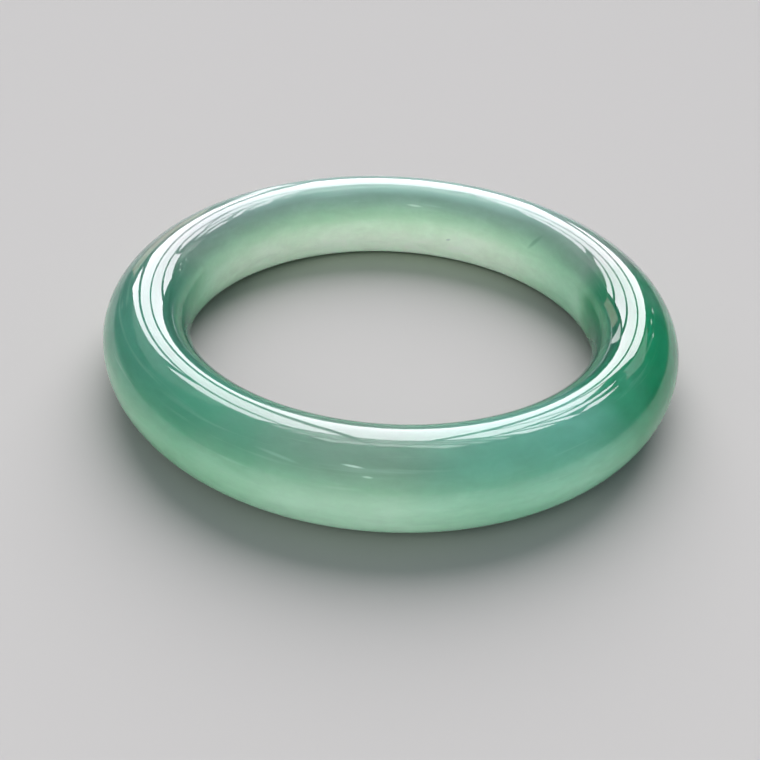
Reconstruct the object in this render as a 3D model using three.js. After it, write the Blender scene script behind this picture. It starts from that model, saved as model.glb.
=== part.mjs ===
// A one-piece polished jade bangle.
//
// The bangle is ground and polished from a single block of stone. It has no
// clasp, hinge, seam, lining or metal, so the whole object is one closed ring.
//
// Units are millimetres and +Z is up. The bangle lies flat, as it does on a
// table: its axis is the Z axis and it stands on the plane z = 0.
//
// Its cross-section is a round bar, a little higher than it is wide. The widest
// place is at mid-height. The outer side bulges slightly more than the inner
// side, which lies against the wrist, so the crown (the highest line) is a
// little nearer to the hole than to the outside. The underside has a narrow
// flat land, on which the bangle stands.
//
//              crown
//            .-"""-.
//          /         \
//   hole  |           |   outside
//          \         /
//            `-___-'
//              land

import * as THREE from 'three';

// ---------------------------------------------------------------------------
// Driving dimensions, in millimetres
// ---------------------------------------------------------------------------

const innerDiameter = 57; // clear hole that the hand passes through
const innerReach = 5.4; // from the crown line in to the hole, seen from above
const outerReach = 6.3; // from the crown line out to the outside, seen from above
const barHeight = 12.7; // height of the bar, from the land to the crown
const landWidth = 1.6; // width of the flat land on the underside

// ---------------------------------------------------------------------------
// Fineness of the faceted solid
// ---------------------------------------------------------------------------

const stepsPerQuarter = 7; // facets along each quarter of the section
const stepsAround = 96; // facets around the ring

// ---------------------------------------------------------------------------
// Finish
// ---------------------------------------------------------------------------

const jade = new THREE.MeshStandardMaterial({
  name: 'green_jade',
  color: 0x8fbf9f,
  roughness: 0.08,
  metalness: 0,
});

// ---------------------------------------------------------------------------
// Section
// ---------------------------------------------------------------------------

const quarterTurn = Math.PI / 2;
const midHeight = barHeight / 2;
const crownRadius = innerDiameter / 2 + innerReach;

// Appends one quarter of an ellipse to the profile, without its first point,
// which the profile already ends on. Angle 0 points outwards and a quarter
// turn points up. The centre is at mid-height.
function addQuarter(profile, centreRadius, reach, startAngle) {
  for (let step = 1; step <= stepsPerQuarter; step += 1) {
    const angle = startAngle + (quarterTurn * step) / stepsPerQuarter;
    const radius = centreRadius + reach * Math.cos(angle);
    const height = midHeight + midHeight * Math.sin(angle);
    profile.push(new THREE.Vector2(radius, height));
  }
}

// The outline runs from the outer edge of the land up the outside, over the
// crown, down the inside to the inner edge of the land, and back to its start.
function barProfile() {
  const landOuterRadius = crownRadius + landWidth / 2;
  const landInnerRadius = crownRadius - landWidth / 2;
  const landStart = new THREE.Vector2(landOuterRadius, 0);
  const profile = [landStart];
  addQuarter(profile, landOuterRadius, outerReach - landWidth / 2, -quarterTurn);
  addQuarter(profile, crownRadius, outerReach, 0);
  addQuarter(profile, crownRadius, innerReach, quarterTurn);
  addQuarter(profile, landInnerRadius, innerReach - landWidth / 2, 2 * quarterTurn);
  profile.push(landStart.clone());
  return profile;
}

// ---------------------------------------------------------------------------
// Ring
// ---------------------------------------------------------------------------

// A lathe turns its profile about Y, so the ring is turned once more to bring
// its axis to Z.
function makeBangle() {
  const ring = new THREE.LatheGeometry(barProfile(), stepsAround);
  ring.rotateX(quarterTurn);
  const bangle = new THREE.Mesh(ring, jade);
  bangle.name = 'bangle';
  return bangle;
}

const part = new THREE.Group();
part.add(makeBangle());

export default part;
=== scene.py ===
"""A polished jade bangle on a pale studio floor.

The bangle is one ring of stone. Its fine surface is built here around the
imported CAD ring, from the radii that are measured on that ring. Metres, +Z up.

A place on the ring has a heading, in degrees from +X towards +Y, so that -Y,
the camera's side, is 270. It also has either a level, as a share of the bar's
height, or an angle on the bar's section, where 0 is outwards, 90 is the crown
and 180 is inwards, towards the hole.
"""

import math

import bpy
import numpy as np
from mathutils import Matrix, Vector, noise


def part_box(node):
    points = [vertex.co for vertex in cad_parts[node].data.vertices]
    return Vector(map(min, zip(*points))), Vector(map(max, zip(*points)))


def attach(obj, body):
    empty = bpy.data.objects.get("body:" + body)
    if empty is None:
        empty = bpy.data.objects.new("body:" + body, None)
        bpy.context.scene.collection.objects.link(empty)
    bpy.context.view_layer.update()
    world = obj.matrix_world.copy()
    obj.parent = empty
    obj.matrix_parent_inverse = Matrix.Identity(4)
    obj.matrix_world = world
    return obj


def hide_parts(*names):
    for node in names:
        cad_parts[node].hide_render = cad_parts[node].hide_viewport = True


MM = 0.001
UP = Vector((0, 0, 1))

# ---------------------------------------------------------------------------
# Surface
# ---------------------------------------------------------------------------

STEPS_AROUND = 448
STEPS_PER_QUARTER = 28

# A vertex of the CAD ring counts as on its land, or on its crown, when its height is
# within this share of the bar's height.
CLOSE = 0.001

# Hand polishing leaves faint waves. Each one has a length and a height.
POLISH_WAVES = (
    (11.0 * MM, 0.006 * MM),
    (3.5 * MM, 0.0012 * MM),
)

# ---------------------------------------------------------------------------
# Stone
# ---------------------------------------------------------------------------

# The stone's colour goes from one colour on the upper part of the bar to another on
# the lower part, between two levels. The green is the stone's own, but the darker top
# is painted shade and the paler bottom is painted light, for light that comes through
# the bar and up from the floor.
BODY_WITH_PAINTED_LIGHT = {
    "levels": (0.93, 0.45),
    "upper": (0.165, 0.226, 0.200),
    "lower": (0.392, 0.636, 0.450),
}
# Where the colour differs round the ring. Each zone's place is its heading and the
# half-widths of its core and of its whole spread, in degrees. The first one is only
# on the side of the bar that faces the hole, at the far side, and is painted light:
# painted shade under the crown and a painted pale glow at the foot. The other zones'
# greens are the stone's own, graded like the body with painted shade and light.
ZONES = (
    # Painted light: painted shade under the far crown and a painted pale glow at the foot.
    {
        "place": (98.0, 30.0, 78.0),
        "levels": (0.97, 0.30),
        "upper": (0.175, 0.212, 0.222),
        "lower": (0.690, 0.980, 0.640),
        "inner_side": True,
    },
    {
        "place": (212.0, 8.0, 50.0),
        "levels": (0.92, 0.35),
        "upper": (0.068, 0.225, 0.162),
        "lower": (0.230, 0.470, 0.300),
    },
    {
        "place": (320.0, 5.0, 50.0),
        "levels": (0.92, 0.40),
        "upper": (0.112, 0.290, 0.240),
        "lower": (0.262, 0.520, 0.362),
    },
    {
        "place": (341.0, 5.0, 35.0),
        "levels": (0.84, 0.35),
        "upper": (0.008, 0.190, 0.090),
        "lower": (0.060, 0.300, 0.155),
    },
)
# That zone's colour fades across the crown line, this far to each side of it.
INNER_SIDE_FADE = 1.0 * MM

# The crown of the far side is painted paler and greyer: a painted reflection of the
# dim room above the window, not a colour of the stone.
BACK_RIM_PAINTED_REFLECTION = {
    "place": (90.0, 30.0, 70.0),
    "levels": (0.88, 0.97),
    "colour": (0.270, 0.370, 0.350),
}
# The near side is painted a deeper, darker green where it faces the hole: painted
# shade, for the light that the stone passes on through instead of sending back. The
# shade starts at the first of two distances inside the crown line, and is complete at
# the second.
NEAR_INSIDE_PAINTED_SHADE = {
    "place": (270.0, 60.0, 110.0),
    "depths": (0.5 * MM, 3.0 * MM),
    "colour": (0.035, 0.130, 0.090),
}

# A soft noise makes the zones' edges and the levels wander: its cells to a metre and
# its detail, and how strongly it moves an edge, as a cosine, and a level.
DRIFT_SCALE = 70.0
DRIFT_DETAIL = 2.0
EDGE_DRIFT = 0.25
LEVEL_DRIFT = 0.07

# Soft cloud in the stone: the length of a puff along the ring, its thickness, how
# much lighter and darker it makes the stone, and how rough its edges are.
CLOUDS = (
    (8.0 * MM, 2.5 * MM, 0.06, 0.50),
    (1.8 * MM, 1.2 * MM, 0.03, 0.60),
)
# The detail of the cloud's noise, and the part of its range that it is drawn from.
CLOUD_DETAIL = 3.0
CLOUD_RANGE = (0.30, 0.70)

# Wisps: long thin threads of paler stone.
WISP_LENGTH = 16.0 * MM
WISP_THICKNESS = 0.8 * MM
WISP_ROUGHNESS = 0.5
WISP_DETAIL = 2.0
WISP_RANGE = (0.58, 0.78)
WISP_SHARE = 0.10
WISP_COLOUR = (0.700, 0.880, 0.780)

# How much cloud and wisps curl.
CURL = 0.6

# The polish is a little hazier in some places than in others: the length of a hazy
# patch, its detail, the noise's range, and the least and the most roughness.
HAZE_LENGTH = 9.0 * MM
HAZE_DETAIL = 3.0
HAZE_RANGE = (0.35, 0.65)
HAZE = (0.009, 0.022)

# Single marks. Each has its heading and its angle on the section, its tilt from the
# run of the bar, its half-length and half-width, its colour, and how strong it is.
PALE = (0.80, 0.95, 0.88)
MARKS = (
    ((264.3, 47.5), -4.0, (1.6 * MM, 0.18 * MM), PALE, 0.46),
    ((266.9, 38.0), -2.0, (0.8 * MM, 0.17 * MM), PALE, 0.34),
    ((41.5, 147.0), 62.0, (2.2 * MM, 0.50 * MM), (0.06, 0.12, 0.11), 0.38),
    ((71.8, 188.0), 20.0, (0.6 * MM, 0.30 * MM), (0.25, 0.40, 0.33), 0.55),
    ((84.2, 142.5), -3.0, (1.6 * MM, 0.25 * MM), (0.85, 0.95, 0.90), 0.35),
    ((251.5, 44.0), -6.0, (3.5 * MM, 0.26 * MM), (0.60, 0.78, 0.70), 0.13),
    ((120.0, 40.0), 35.0, (1.8 * MM, 0.20 * MM), PALE, 0.45),
    ((30.0, 25.0), -12.0, (2.6 * MM, 0.25 * MM), (0.10, 0.22, 0.17), 0.40),
)
# A mark starts at the first of these shares of its half-sizes, and is at its full
# strength from the second one inwards. Past this many half-lengths there is none.
MARK_FADE = (1.0, 0.2)
MARK_LIMIT = 1.5

# Jadeite's refraction. Then how far red, green and blue light spread inside the stone,
# as shares of a scale.
STONE_IOR = 1.66
SUBSURFACE_RADIUS = (0.7, 1.0, 0.8)
SUBSURFACE_SCALE = 50.0 * MM

# ---------------------------------------------------------------------------
# Window, seen only in reflections
# ---------------------------------------------------------------------------

WINDOW_DISTANCE = 3.0
# Into how many steps each side of a pane, or of a glint, is cut.
PANE_STEPS = 8
GLINT_STEPS = 2

# Each pane's four corners, as azimuth and elevation in degrees, from the bottom
# left one and on to the bottom right, top right and top left ones. The panes stand
# between narrow mullions. What stands outside the window cuts into the end panes.
PANES = (
    ((-33.5, 19), (-27, 19), (-27, 43), (-33.5, 39)),
    ((-39, 42), (-27, 46), (-27, 61), (-39, 61)),
    ((-24, 19), (-9, 18.5), (-9, 61), (-24, 61)),
    ((-6, 18.5), (11, 18), (11, 61), (-6, 61)),
    ((14, 18), (24, 20), (26, 34), (14, 36)),
    ((14, 39), (19, 36), (27, 44), (14, 47)),
    ((14, 49), (27.5, 45), (27.5, 61), (14, 61)),
    ((30.5, 39), (34, 41), (38, 51), (30.5, 53)),
    ((41, 40), (48, 45), (49, 50), (40, 47)),
    ((30.5, 55), (50, 50), (50, 53), (30.5, 58)),
    ((30.5, 60), (50, 55), (50, 61), (30.5, 62)),
)
# A wedge of dim light under the panes.
LOW_PANE = ((-11.5, 3), (-10, 3), (-7, 16), (-14, 16))
# Fainter light beside the panes: its corners and its strength.
FAINT_PANES = (
    (((28, 28), (43, 31), (43, 38), (28, 37)), 0.9),
    (((-60, 36), (-34, 24), (-34, 41.5), (-60, 41.5)), 0.5),
    (((-60, 41.5), (-39.5, 41.5), (-39.5, 58), (-60, 54)), 0.5),
)
# Daylight that comes through the leaves: the centres of small square gaps, and how
# far each one reaches from its centre.
GLINTS = ((32.5, 24.0), (38.0, 24.0), (33.0, 19.0))
GLINT_REACH = 0.7
# Each blind slat above the panes: its bottom and top elevation. Then the azimuths
# where the slats start and end between the mullions.
SLATS = ((63.5, 65.5), (67.5, 69.5), (71.5, 77.0))
SLAT_SPANS = ((-40, -27), (-25, -9.5), (-7, 12), (14, 28), (30, 50))
# The sill's left, right, bottom and top.
SILL = (-33, -17, 2, 14)

# The colour and the strength of what glows.
GLASS_GLOW = ((1.0, 0.92, 1.0), 6.8)
DIM_GLOW = ((1.0, 0.98, 1.0), 3.0)
SILL_GLOW = ((1.0, 0.86, 0.74), 1.1)
WHITE = (1.0, 1.0, 1.0)

# ---------------------------------------------------------------------------
# Floor, lights and room
# ---------------------------------------------------------------------------

FLOOR_HALF = 40.0
FLOOR_COLOUR = (0.63, 0.615, 0.59)

# The daylight itself comes from a broad soft sun where the window is, so that it
# falls evenly on the whole floor.
SUN_HEADING = 3.0
SUN_ELEVATION = 42.0
SUN_SPREAD = 60.0
SUN_STRENGTH = 3.4
SUN_COLOUR = (1.0, 0.97, 1.0)

# Two soft lights: the place, the size, the power and the colour.
FILL = (Vector((-0.6, -0.9, 0.9)), 0.8, 2.0, (1.0, 0.98, 0.95))
FRONT_FILL = (Vector((0.0, -1.0, 0.30)), 0.3, 3.5, (1.0, 1.0, 0.95))

# The room past the floor: what the camera sees, what reflections show above and near
# the horizon, the elevation where the low part ends, and the light that it gives.
BACKDROP = (0.584, 0.579, 0.585)
DIM_ROOM = (0.05, 0.06, 0.07)
LOW_ROOM = (0.18, 0.19, 0.19)
LOW_ROOM_TOP = 6.0
ROOM_LIGHT = (0.20, 0.23, 0.26)

# ---------------------------------------------------------------------------
# Camera, with its place as shares of the ring's outer radius
# ---------------------------------------------------------------------------

CAMERA_ELEVATION = math.radians(35.69)
CAMERA_ROLL = math.radians(-2.84)
CAMERA_DEPTH = 3.6285
CAMERA_ASIDE = 0.0358
CAMERA_ABOVE = -0.0879
SENSOR_WIDTH = 36.0
LENS = 46.91
NEAREST_SEEN = 5.0 * MM


# ---------------------------------------------------------------------------
# Mesh
# ---------------------------------------------------------------------------


def measure_ring(frame, node):
    """The radii and the height of the CAD ring, from its own vertices."""
    low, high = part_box(node)
    points = np.array([v.co for v in frame["nodes"][node].data.vertices], float)
    radii = np.hypot(points[:, 0], points[:, 1])
    height = high.z - low.z
    on_land = points[:, 2] < low.z + height * CLOSE
    on_crown = points[:, 2] > high.z - height * CLOSE
    return {
        "base": low.z,
        "height": height,
        "outer": radii.max(),
        "inner": radii.min(),
        "crown": radii[on_crown].mean(),
        "land_outer": radii[on_land].max(),
        "land_inner": radii[on_land].min(),
    }


def section_points(ring):
    """The bar's outline: four quarter ellipses, and the end of the land."""
    quarter = math.pi / 2
    # The centre's radius, the reach and the first angle of each quarter.
    quarters = (
        (ring["land_outer"], ring["outer"] - ring["land_outer"], -quarter),
        (ring["crown"], ring["outer"] - ring["crown"], 0.0),
        (ring["crown"], ring["crown"] - ring["inner"], quarter),
        (ring["land_inner"], ring["land_inner"] - ring["inner"], 2 * quarter),
    )
    half_height = ring["height"] / 2
    points = []
    for centre, reach, start in quarters:
        for step in range(STEPS_PER_QUARTER):
            angle = start + quarter * step / STEPS_PER_QUARTER
            radius = centre + reach * math.cos(angle)
            level = ring["base"] + half_height + half_height * math.sin(angle)
            points.append((radius, level))
    points.append((ring["land_inner"], ring["base"]))
    return points


def polish_wave(point):
    """How far the polished surface dips at a point."""
    depth = 0.0
    for length, height in POLISH_WAVES:
        depth += height * (0.5 + 0.5 * noise.noise(point / length))
    return depth


def make_object(name, vertices, faces):
    """A new mesh object in the scene."""
    mesh = bpy.data.meshes.new(name)
    mesh.from_pydata(vertices, [], faces)
    made = bpy.data.objects.new(name, mesh)
    bpy.context.scene.collection.objects.link(made)
    return made


def make_ring(ring, name):
    """The ring's fine mesh, never outside the outline that it is turned from."""
    outline = section_points(ring)
    count = len(outline)
    middle = ring["base"] + ring["height"] / 2
    vertices = []
    for around in range(STEPS_AROUND):
        turn = 2 * math.pi * around / STEPS_AROUND
        outward = Vector((math.cos(turn), math.sin(turn), 0))
        centre = outward * ring["crown"] + UP * middle
        for radius, level in outline:
            point = outward * radius + UP * level
            on_land = level <= ring["base"]
            if not on_land:
                inward = (centre - point).normalized()
                point += inward * polish_wave(point)
            vertices.append(point)
    faces = []
    for around in range(STEPS_AROUND):
        here = around * count
        ahead = (around + 1) % STEPS_AROUND * count
        for side in range(count):
            beside = (side + 1) % count
            faces.append((here + side, ahead + side, ahead + beside, here + beside))
    piece = make_object(name, vertices, faces)
    piece.data.polygons.foreach_set("use_smooth", [True] * len(faces))
    piece.data.update()
    return piece


# ---------------------------------------------------------------------------
# Nodes
# ---------------------------------------------------------------------------


def opaque(colour):
    """A plain colour as a socket takes it."""
    return (*colour, 1)


def new_material(name):
    """A new material, with its shader."""
    material = bpy.data.materials.new(name)
    material.use_nodes = True
    return material, material.node_tree.nodes["Principled BSDF"]


class Nodes:
    """Adds nodes to one node tree, with plain calls."""

    # Where a colour mix has its two colours and its result.
    FIRST_COLOUR = 6
    SECOND_COLOUR = 7
    MIXED_COLOUR = 2

    def __init__(self, tree):
        self.tree = tree

    def add(self, kind):
        return self.tree.nodes.new("ShaderNode" + kind)

    def link(self, value, socket):
        """Connects an output, or sets a plain value."""
        if isinstance(value, bpy.types.NodeSocket):
            self.tree.links.new(value, socket)
        else:
            socket.default_value = value

    def maths(self, operation, first, second=0.0):
        node = self.add("Math")
        node.operation = operation
        self.link(first, node.inputs[0])
        self.link(second, node.inputs[1])
        return node.outputs[0]

    def vector(self, operation, first, second=(0, 0, 0)):
        node = self.add("VectorMath")
        node.operation = operation
        self.link(first, node.inputs[0])
        self.link(second, node.inputs[1])
        gives_number = operation in ("DOT_PRODUCT", "LENGTH")
        return node.outputs["Value" if gives_number else "Vector"]

    def split(self, value):
        """The three parts of a vector."""
        node = self.add("SeparateXYZ")
        self.link(value, node.inputs[0])
        return tuple(node.outputs)

    def between(self, value, low, high, start=0.0, end=1.0):
        """Goes smoothly from start to end as value goes from low to high."""
        node = self.add("MapRange")
        node.interpolation_type = "SMOOTHSTEP"
        self.link(value, node.inputs["Value"])
        node.inputs["From Min"].default_value = low
        node.inputs["From Max"].default_value = high
        node.inputs["To Min"].default_value = start
        node.inputs["To Max"].default_value = end
        return node.outputs["Result"]

    def mix(self, share, first, second):
        """One colour where share is 0, another where it is 1."""
        node = self.add("Mix")
        node.data_type = "RGBA"
        self.link(share, node.inputs["Factor"])
        self.link(first, node.inputs[self.FIRST_COLOUR])
        self.link(second, node.inputs[self.SECOND_COLOUR])
        return node.outputs[self.MIXED_COLOUR]

    def scale(self, colour, factor):
        """A colour made lighter or darker."""
        node = self.add("VectorMath")
        node.operation = "SCALE"
        self.link(colour, node.inputs[0])
        self.link(factor, node.inputs["Scale"])
        return node.outputs["Vector"]

    def noise(self, place, scale, detail, roughness=0.5):
        node = self.add("TexNoise")
        self.link(place, node.inputs["Vector"])
        node.inputs["Scale"].default_value = scale
        node.inputs["Detail"].default_value = detail
        node.inputs["Roughness"].default_value = roughness
        return node


# ---------------------------------------------------------------------------
# The stone's material
# ---------------------------------------------------------------------------


def find_spot(n, ring):
    """Where a point of the stone is: in space, round the ring, and in the bar."""
    place = n.add("TexCoord").outputs["Object"]
    x, y, z = n.split(place)
    flat = n.add("CombineXYZ")
    n.link(x, flat.inputs["X"])
    n.link(y, flat.inputs["Y"])
    radius = n.vector("LENGTH", flat.outputs[0])
    crown = ring["crown"]
    wave = n.noise(place, DRIFT_SCALE, DRIFT_DETAIL).outputs["Fac"]
    drift = n.maths("SUBTRACT", wave, 0.5)
    level = n.maths("DIVIDE", z, ring["height"])
    return {
        "place": place,
        "heading": n.vector("NORMALIZE", flat.outputs[0]),
        "radius": radius,
        "level": n.maths("ADD", level, n.maths("MULTIPLY", drift, LEVEL_DRIFT)),
        "wander": n.maths("MULTIPLY", drift, EDGE_DRIFT),
        "inner_side": n.between(radius, crown + INNER_SIDE_FADE, crown - INNER_SIDE_FADE),
    }


def zone(n, spot, degrees, core, edge):
    """1 within core degrees of that heading, down to 0 at edge degrees away."""
    turn = math.radians(degrees)
    toward = (math.cos(turn), math.sin(turn), 0)
    facing = n.vector("DOT_PRODUCT", spot["heading"], toward)
    facing = n.maths("ADD", facing, spot["wander"])
    return n.between(facing, math.cos(math.radians(edge)), math.cos(math.radians(core)))


def graded_with_painted_light(n, spot, patch):
    """A patch's colour from its upper one down to its lower one: painted shade to painted
    light.
    """
    share = n.between(spot["level"], *patch["levels"])
    return n.mix(share, opaque(patch["upper"]), opaque(patch["lower"]))


def add_zones(n, spot, body):
    """Lays each zone's colour over the body's. The first zone's is painted light and shade."""
    for patch in ZONES:
        share = zone(n, spot, *patch["place"])
        if patch.get("inner_side"):
            share = n.maths("MULTIPLY", share, spot["inner_side"])
        body = n.mix(share, body, graded_with_painted_light(n, spot, patch))
    return body


def drawn_out(n, spot, ring, length, thickness, roughness, detail):
    """Noise that is drawn out along the ring."""
    turns = ring["crown"] / length
    along = n.vector("MULTIPLY", spot["heading"], (turns, turns, 0))
    rise = n.vector("MULTIPLY", spot["place"], (0, 0, 1 / thickness))
    node = n.noise(n.vector("ADD", along, rise), 1.0, detail, roughness)
    node.noise_dimensions = "4D"
    n.link(n.maths("DIVIDE", spot["radius"], thickness), node.inputs["W"])
    node.inputs["Distortion"].default_value = CURL
    return node.outputs["Fac"]


def add_cloud(n, spot, ring, body):
    """Makes the body lighter and darker in soft puffs, and lays wisps over it."""
    for length, thickness, strength, roughness in CLOUDS:
        cloud = drawn_out(n, spot, ring, length, thickness, roughness, CLOUD_DETAIL)
        lighter = n.between(cloud, *CLOUD_RANGE, 1 - strength, 1 + strength)
        body = n.scale(body, lighter)
    thread = drawn_out(
        n, spot, ring, WISP_LENGTH, WISP_THICKNESS, WISP_ROUGHNESS, WISP_DETAIL
    )
    wisps = n.between(thread, *WISP_RANGE, 0.0, WISP_SHARE)
    return n.mix(wisps, body, opaque(WISP_COLOUR))


# Lays the painted reflection of the dim room on the far side's crown.
def add_back_rim_painted_reflection(n, spot, body):
    share = n.between(spot["level"], *BACK_RIM_PAINTED_REFLECTION["levels"])
    share = n.maths("MULTIPLY", share, zone(n, spot, *BACK_RIM_PAINTED_REFLECTION["place"]))
    return n.mix(share, body, opaque(BACK_RIM_PAINTED_REFLECTION["colour"]))


# Lays the painted shade on the near side, where it faces the hole.
def add_near_inside_painted_shade(n, spot, ring, body):
    start, end = NEAR_INSIDE_PAINTED_SHADE["depths"]
    share = n.between(spot["radius"], ring["crown"] - start, ring["crown"] - end)
    share = n.maths("MULTIPLY", share, zone(n, spot, *NEAR_INSIDE_PAINTED_SHADE["place"]))
    return n.mix(share, body, opaque(NEAR_INSIDE_PAINTED_SHADE["colour"]))


def mark_frame(ring, turn, section, tilt):
    """A mark's place on the surface, and the unit vectors along and across it."""
    side = "outer" if math.cos(section) > 0 else "inner"
    reach = abs(ring[side] - ring["crown"])
    half_height = ring["height"] / 2
    outward = Vector((math.cos(turn), math.sin(turn), 0))
    radius = ring["crown"] + reach * math.cos(section)
    level = ring["base"] + half_height * (1 + math.sin(section))
    round_ring = Vector((-math.sin(turn), math.cos(turn), 0))
    rise = UP * math.cos(section) * half_height
    up_section = (rise - outward * math.sin(section) * reach).normalized()
    along = round_ring * math.cos(tilt) + up_section * math.sin(tilt)
    across = up_section * math.cos(tilt) - round_ring * math.sin(tilt)
    return outward * radius + UP * level, along, across


def add_marks(n, spot, ring, body):
    """Lays each mark on the body, as a soft-edged ellipse."""
    for (turn, section), tilt, (half_length, half_width), colour, strength in MARKS:
        angles = (math.radians(angle) for angle in (turn, section, tilt))
        middle, along, across = mark_frame(ring, *angles)
        away = n.vector("SUBTRACT", spot["place"], middle)
        run = n.maths("DIVIDE", n.vector("DOT_PRODUCT", away, along), half_length)
        side = n.maths("DIVIDE", n.vector("DOT_PRODUCT", away, across), half_width)
        squares = n.maths("ADD", n.maths("MULTIPLY", run, run), n.maths("MULTIPLY", side, side))
        share = n.between(n.maths("SQRT", squares), *MARK_FADE, 0.0, strength)
        limit = half_length * MARK_LIMIT
        near = n.maths("LESS_THAN", n.vector("LENGTH", away), limit)
        body = n.mix(n.maths("MULTIPLY", share, near), body, opaque(colour))
    return body


def jade_material(ring):
    material, shader = new_material("jade")
    n = Nodes(material.node_tree)
    spot = find_spot(n, ring)
    # The base colour carries painted light: its grading, the far inner glow, the far crown's
    # painted reflection and the near side's painted shade.
    body = graded_with_painted_light(n, spot, BODY_WITH_PAINTED_LIGHT)
    body = add_zones(n, spot, body)
    body = add_cloud(n, spot, ring, body)
    body = add_back_rim_painted_reflection(n, spot, body)
    body = add_near_inside_painted_shade(n, spot, ring, body)
    body = add_marks(n, spot, ring, body)
    haze = n.noise(spot["place"], 1 / HAZE_LENGTH, HAZE_DETAIL).outputs["Fac"]
    n.link(body, shader.inputs["Base Color"])
    n.link(n.between(haze, *HAZE_RANGE, *HAZE), shader.inputs["Roughness"])
    shader.inputs["IOR"].default_value = STONE_IOR
    shader.inputs["Subsurface Weight"].default_value = 1.0
    shader.inputs["Subsurface Radius"].default_value = SUBSURFACE_RADIUS
    shader.inputs["Subsurface Scale"].default_value = SUBSURFACE_SCALE
    return material


# ---------------------------------------------------------------------------
# Stage
# ---------------------------------------------------------------------------


def make_floor():
    material, shader = new_material("floor")
    shader.inputs["Base Color"].default_value = opaque(FLOOR_COLOUR)
    shader.inputs["Roughness"].default_value = 1.0
    shader.inputs["Specular IOR Level"].default_value = 0.0
    reach = FLOOR_HALF
    corners = [(-reach, -reach, 0), (reach, -reach, 0), (reach, reach, 0), (-reach, reach, 0)]
    floor = make_object("floor", corners, [(0, 1, 2, 3)])
    floor.data.materials.append(material)


def glow_material(name, colour, strength):
    """A material that only gives light."""
    material = bpy.data.materials.new(name)
    material.use_nodes = True
    tree = material.node_tree
    tree.nodes.clear()
    glow = tree.nodes.new("ShaderNodeEmission")
    glow.inputs["Color"].default_value = opaque(colour)
    glow.inputs["Strength"].default_value = strength
    out = tree.nodes.new("ShaderNodeOutputMaterial")
    tree.links.new(glow.outputs[0], out.inputs["Surface"])
    return material


def sky_point(azimuth, elevation):
    """A point on the window's curve. Azimuth 0 is +Y and grows towards +X."""
    a = math.radians(azimuth)
    e = math.radians(elevation)
    way = Vector((math.sin(a) * math.cos(e), math.cos(a) * math.cos(e), math.sin(e)))
    return WINDOW_DISTANCE * way


def make_pane(name, corners, material, steps=PANE_STEPS):
    """One bright pane: a patch of a sphere round the bangle, between four corners."""
    bottom_left, bottom_right, top_right, top_left = (Vector(corner) for corner in corners)
    vertices = []
    for i in range(steps + 1):
        low = bottom_left.lerp(bottom_right, i / steps)
        high = top_left.lerp(top_right, i / steps)
        for j in range(steps + 1):
            vertices.append(sky_point(*low.lerp(high, j / steps)))
    faces = []
    for i in range(steps):
        for j in range(steps):
            a = i * (steps + 1) + j
            b = a + steps + 1
            faces.append((a, b, b + 1, a + 1))
    pane = make_object(name, vertices, faces)
    pane.data.materials.append(material)
    pane.visible_camera = False
    pane.visible_shadow = False
    pane.visible_diffuse = False


def box_corners(left, right, bottom, top):
    """The four corners of a pane with level and upright sides."""
    return ((left, bottom), (right, bottom), (right, top), (left, top))


def make_window():
    glass = glow_material("window", *GLASS_GLOW)
    dim = glow_material("window_top", *DIM_GLOW)
    for i, corners in enumerate(PANES):
        make_pane(f"pane_{i}", corners, glass)
    reach = GLINT_REACH
    for i, (azimuth, elevation) in enumerate(GLINTS):
        sides = (azimuth - reach, azimuth + reach, elevation - reach, elevation + reach)
        make_pane(f"glint_{i}", box_corners(*sides), dim, GLINT_STEPS)
    for i, (bottom, top) in enumerate(SLATS):
        for j, (left, right) in enumerate(SLAT_SPANS):
            make_pane(f"slat_{i}_{j}", box_corners(left, right, bottom, top), dim)
    for i, (corners, strength) in enumerate(FAINT_PANES):
        make_pane(f"faint_pane_{i}", corners, glow_material(f"faint_{i}", WHITE, strength))
    make_pane("sill", box_corners(*SILL), glow_material("sill", *SILL_GLOW))
    make_pane("pane_low", LOW_PANE, dim)


def make_light(name, kind, power, colour, toward):
    """A light that shines on the bangle from that way and has no reflection."""
    data = bpy.data.lights.new(name, kind)
    data.energy = power
    data.color = colour
    light = bpy.data.objects.new(name, data)
    light.rotation_euler = toward.to_track_quat("Z", "Y").to_euler()
    light.visible_glossy = False
    bpy.context.scene.collection.objects.link(light)
    return light


def make_sun():
    """The soft daylight that comes from the window's side."""
    toward = sky_point(SUN_HEADING, SUN_ELEVATION)
    sun = make_light("daylight", "SUN", SUN_STRENGTH, SUN_COLOUR, toward)
    sun.data.angle = math.radians(SUN_SPREAD)


def make_area_light(name, place, size, power, colour):
    light = make_light(name, "AREA", power, colour, place)
    light.data.shape = "SQUARE"
    light.data.size = size
    light.location = place
    light.visible_camera = False
    return light


def make_lights(stone):
    """The window for reflections, and the lights. The front one lights only the stone."""
    make_window()
    make_sun()
    make_area_light("fill", *FILL)
    front_fill = make_area_light("front_fill", *FRONT_FILL)
    only_stone = bpy.data.collections.new("lit_by_front_fill")
    only_stone.objects.link(stone)
    front_fill.light_linking.receiver_collection = only_stone


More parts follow.
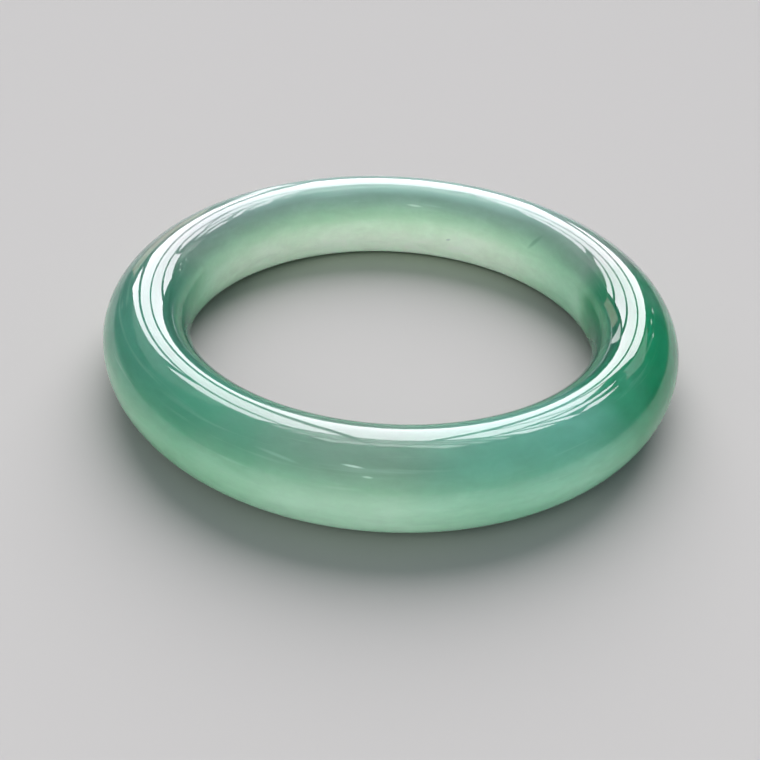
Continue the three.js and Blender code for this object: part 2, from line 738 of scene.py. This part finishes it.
def make_world():
    """The room past the floor, which differs for reflections, the camera and light."""
    world = bpy.data.worlds.new("studio")
    bpy.context.scene.world = world
    world.use_nodes = True
    n = Nodes(world.node_tree)
    rays = n.add("LightPath").outputs
    rise = n.split(n.add("TexCoord").outputs["Generated"])[2]
    above = n.between(rise, 0.0, math.sin(math.radians(LOW_ROOM_TOP)))
    reflected = n.mix(above, opaque(LOW_ROOM), opaque(DIM_ROOM))
    colour = n.mix(rays["Is Glossy Ray"], opaque(ROOM_LIGHT), reflected)
    colour = n.mix(rays["Is Camera Ray"], colour, opaque(BACKDROP))
    n.link(colour, n.tree.nodes["Background"].inputs["Color"])


def make_camera(ring):
    """The camera looks down at the ring from -Y, turned a little about its own axis."""
    forward = Vector((0, math.cos(CAMERA_ELEVATION), -math.sin(CAMERA_ELEVATION)))
    down = Vector((0, -math.sin(CAMERA_ELEVATION), -math.cos(CAMERA_ELEVATION)))
    across = Vector((1, 0, 0))
    right = across * math.cos(CAMERA_ROLL) + down * math.sin(CAMERA_ROLL)
    below = down * math.cos(CAMERA_ROLL) - across * math.sin(CAMERA_ROLL)
    offset = right * CAMERA_ASIDE + below * CAMERA_ABOVE + forward * CAMERA_DEPTH
    matrix = Matrix((right, -below, -forward)).transposed().to_4x4()
    matrix.translation = UP * ring["base"] - offset * ring["outer"]
    data = bpy.data.cameras.new("camera")
    data.sensor_width = SENSOR_WIDTH
    data.lens = LENS
    data.clip_start = NEAREST_SEEN
    camera = bpy.data.objects.new("camera", data)
    camera.matrix_world = matrix
    bpy.context.scene.collection.objects.link(camera)
    bpy.context.scene.camera = camera


# ---------------------------------------------------------------------------
# Scene
# ---------------------------------------------------------------------------

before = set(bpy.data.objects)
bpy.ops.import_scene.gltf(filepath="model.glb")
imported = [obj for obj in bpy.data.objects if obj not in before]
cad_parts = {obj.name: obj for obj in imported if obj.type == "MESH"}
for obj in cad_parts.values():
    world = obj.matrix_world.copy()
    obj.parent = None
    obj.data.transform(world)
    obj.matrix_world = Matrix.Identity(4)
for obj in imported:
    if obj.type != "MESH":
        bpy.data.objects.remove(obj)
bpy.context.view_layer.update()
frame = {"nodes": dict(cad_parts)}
ring = measure_ring(frame, "bangle")

make_camera(ring)

stone = make_ring(ring, "bangle_stone")
stone.data.materials.append(jade_material(ring))
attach(stone, "root")
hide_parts("bangle")

make_floor()
make_lights(stone)
make_world()

bpy.context.scene.view_settings.view_transform = "Standard"
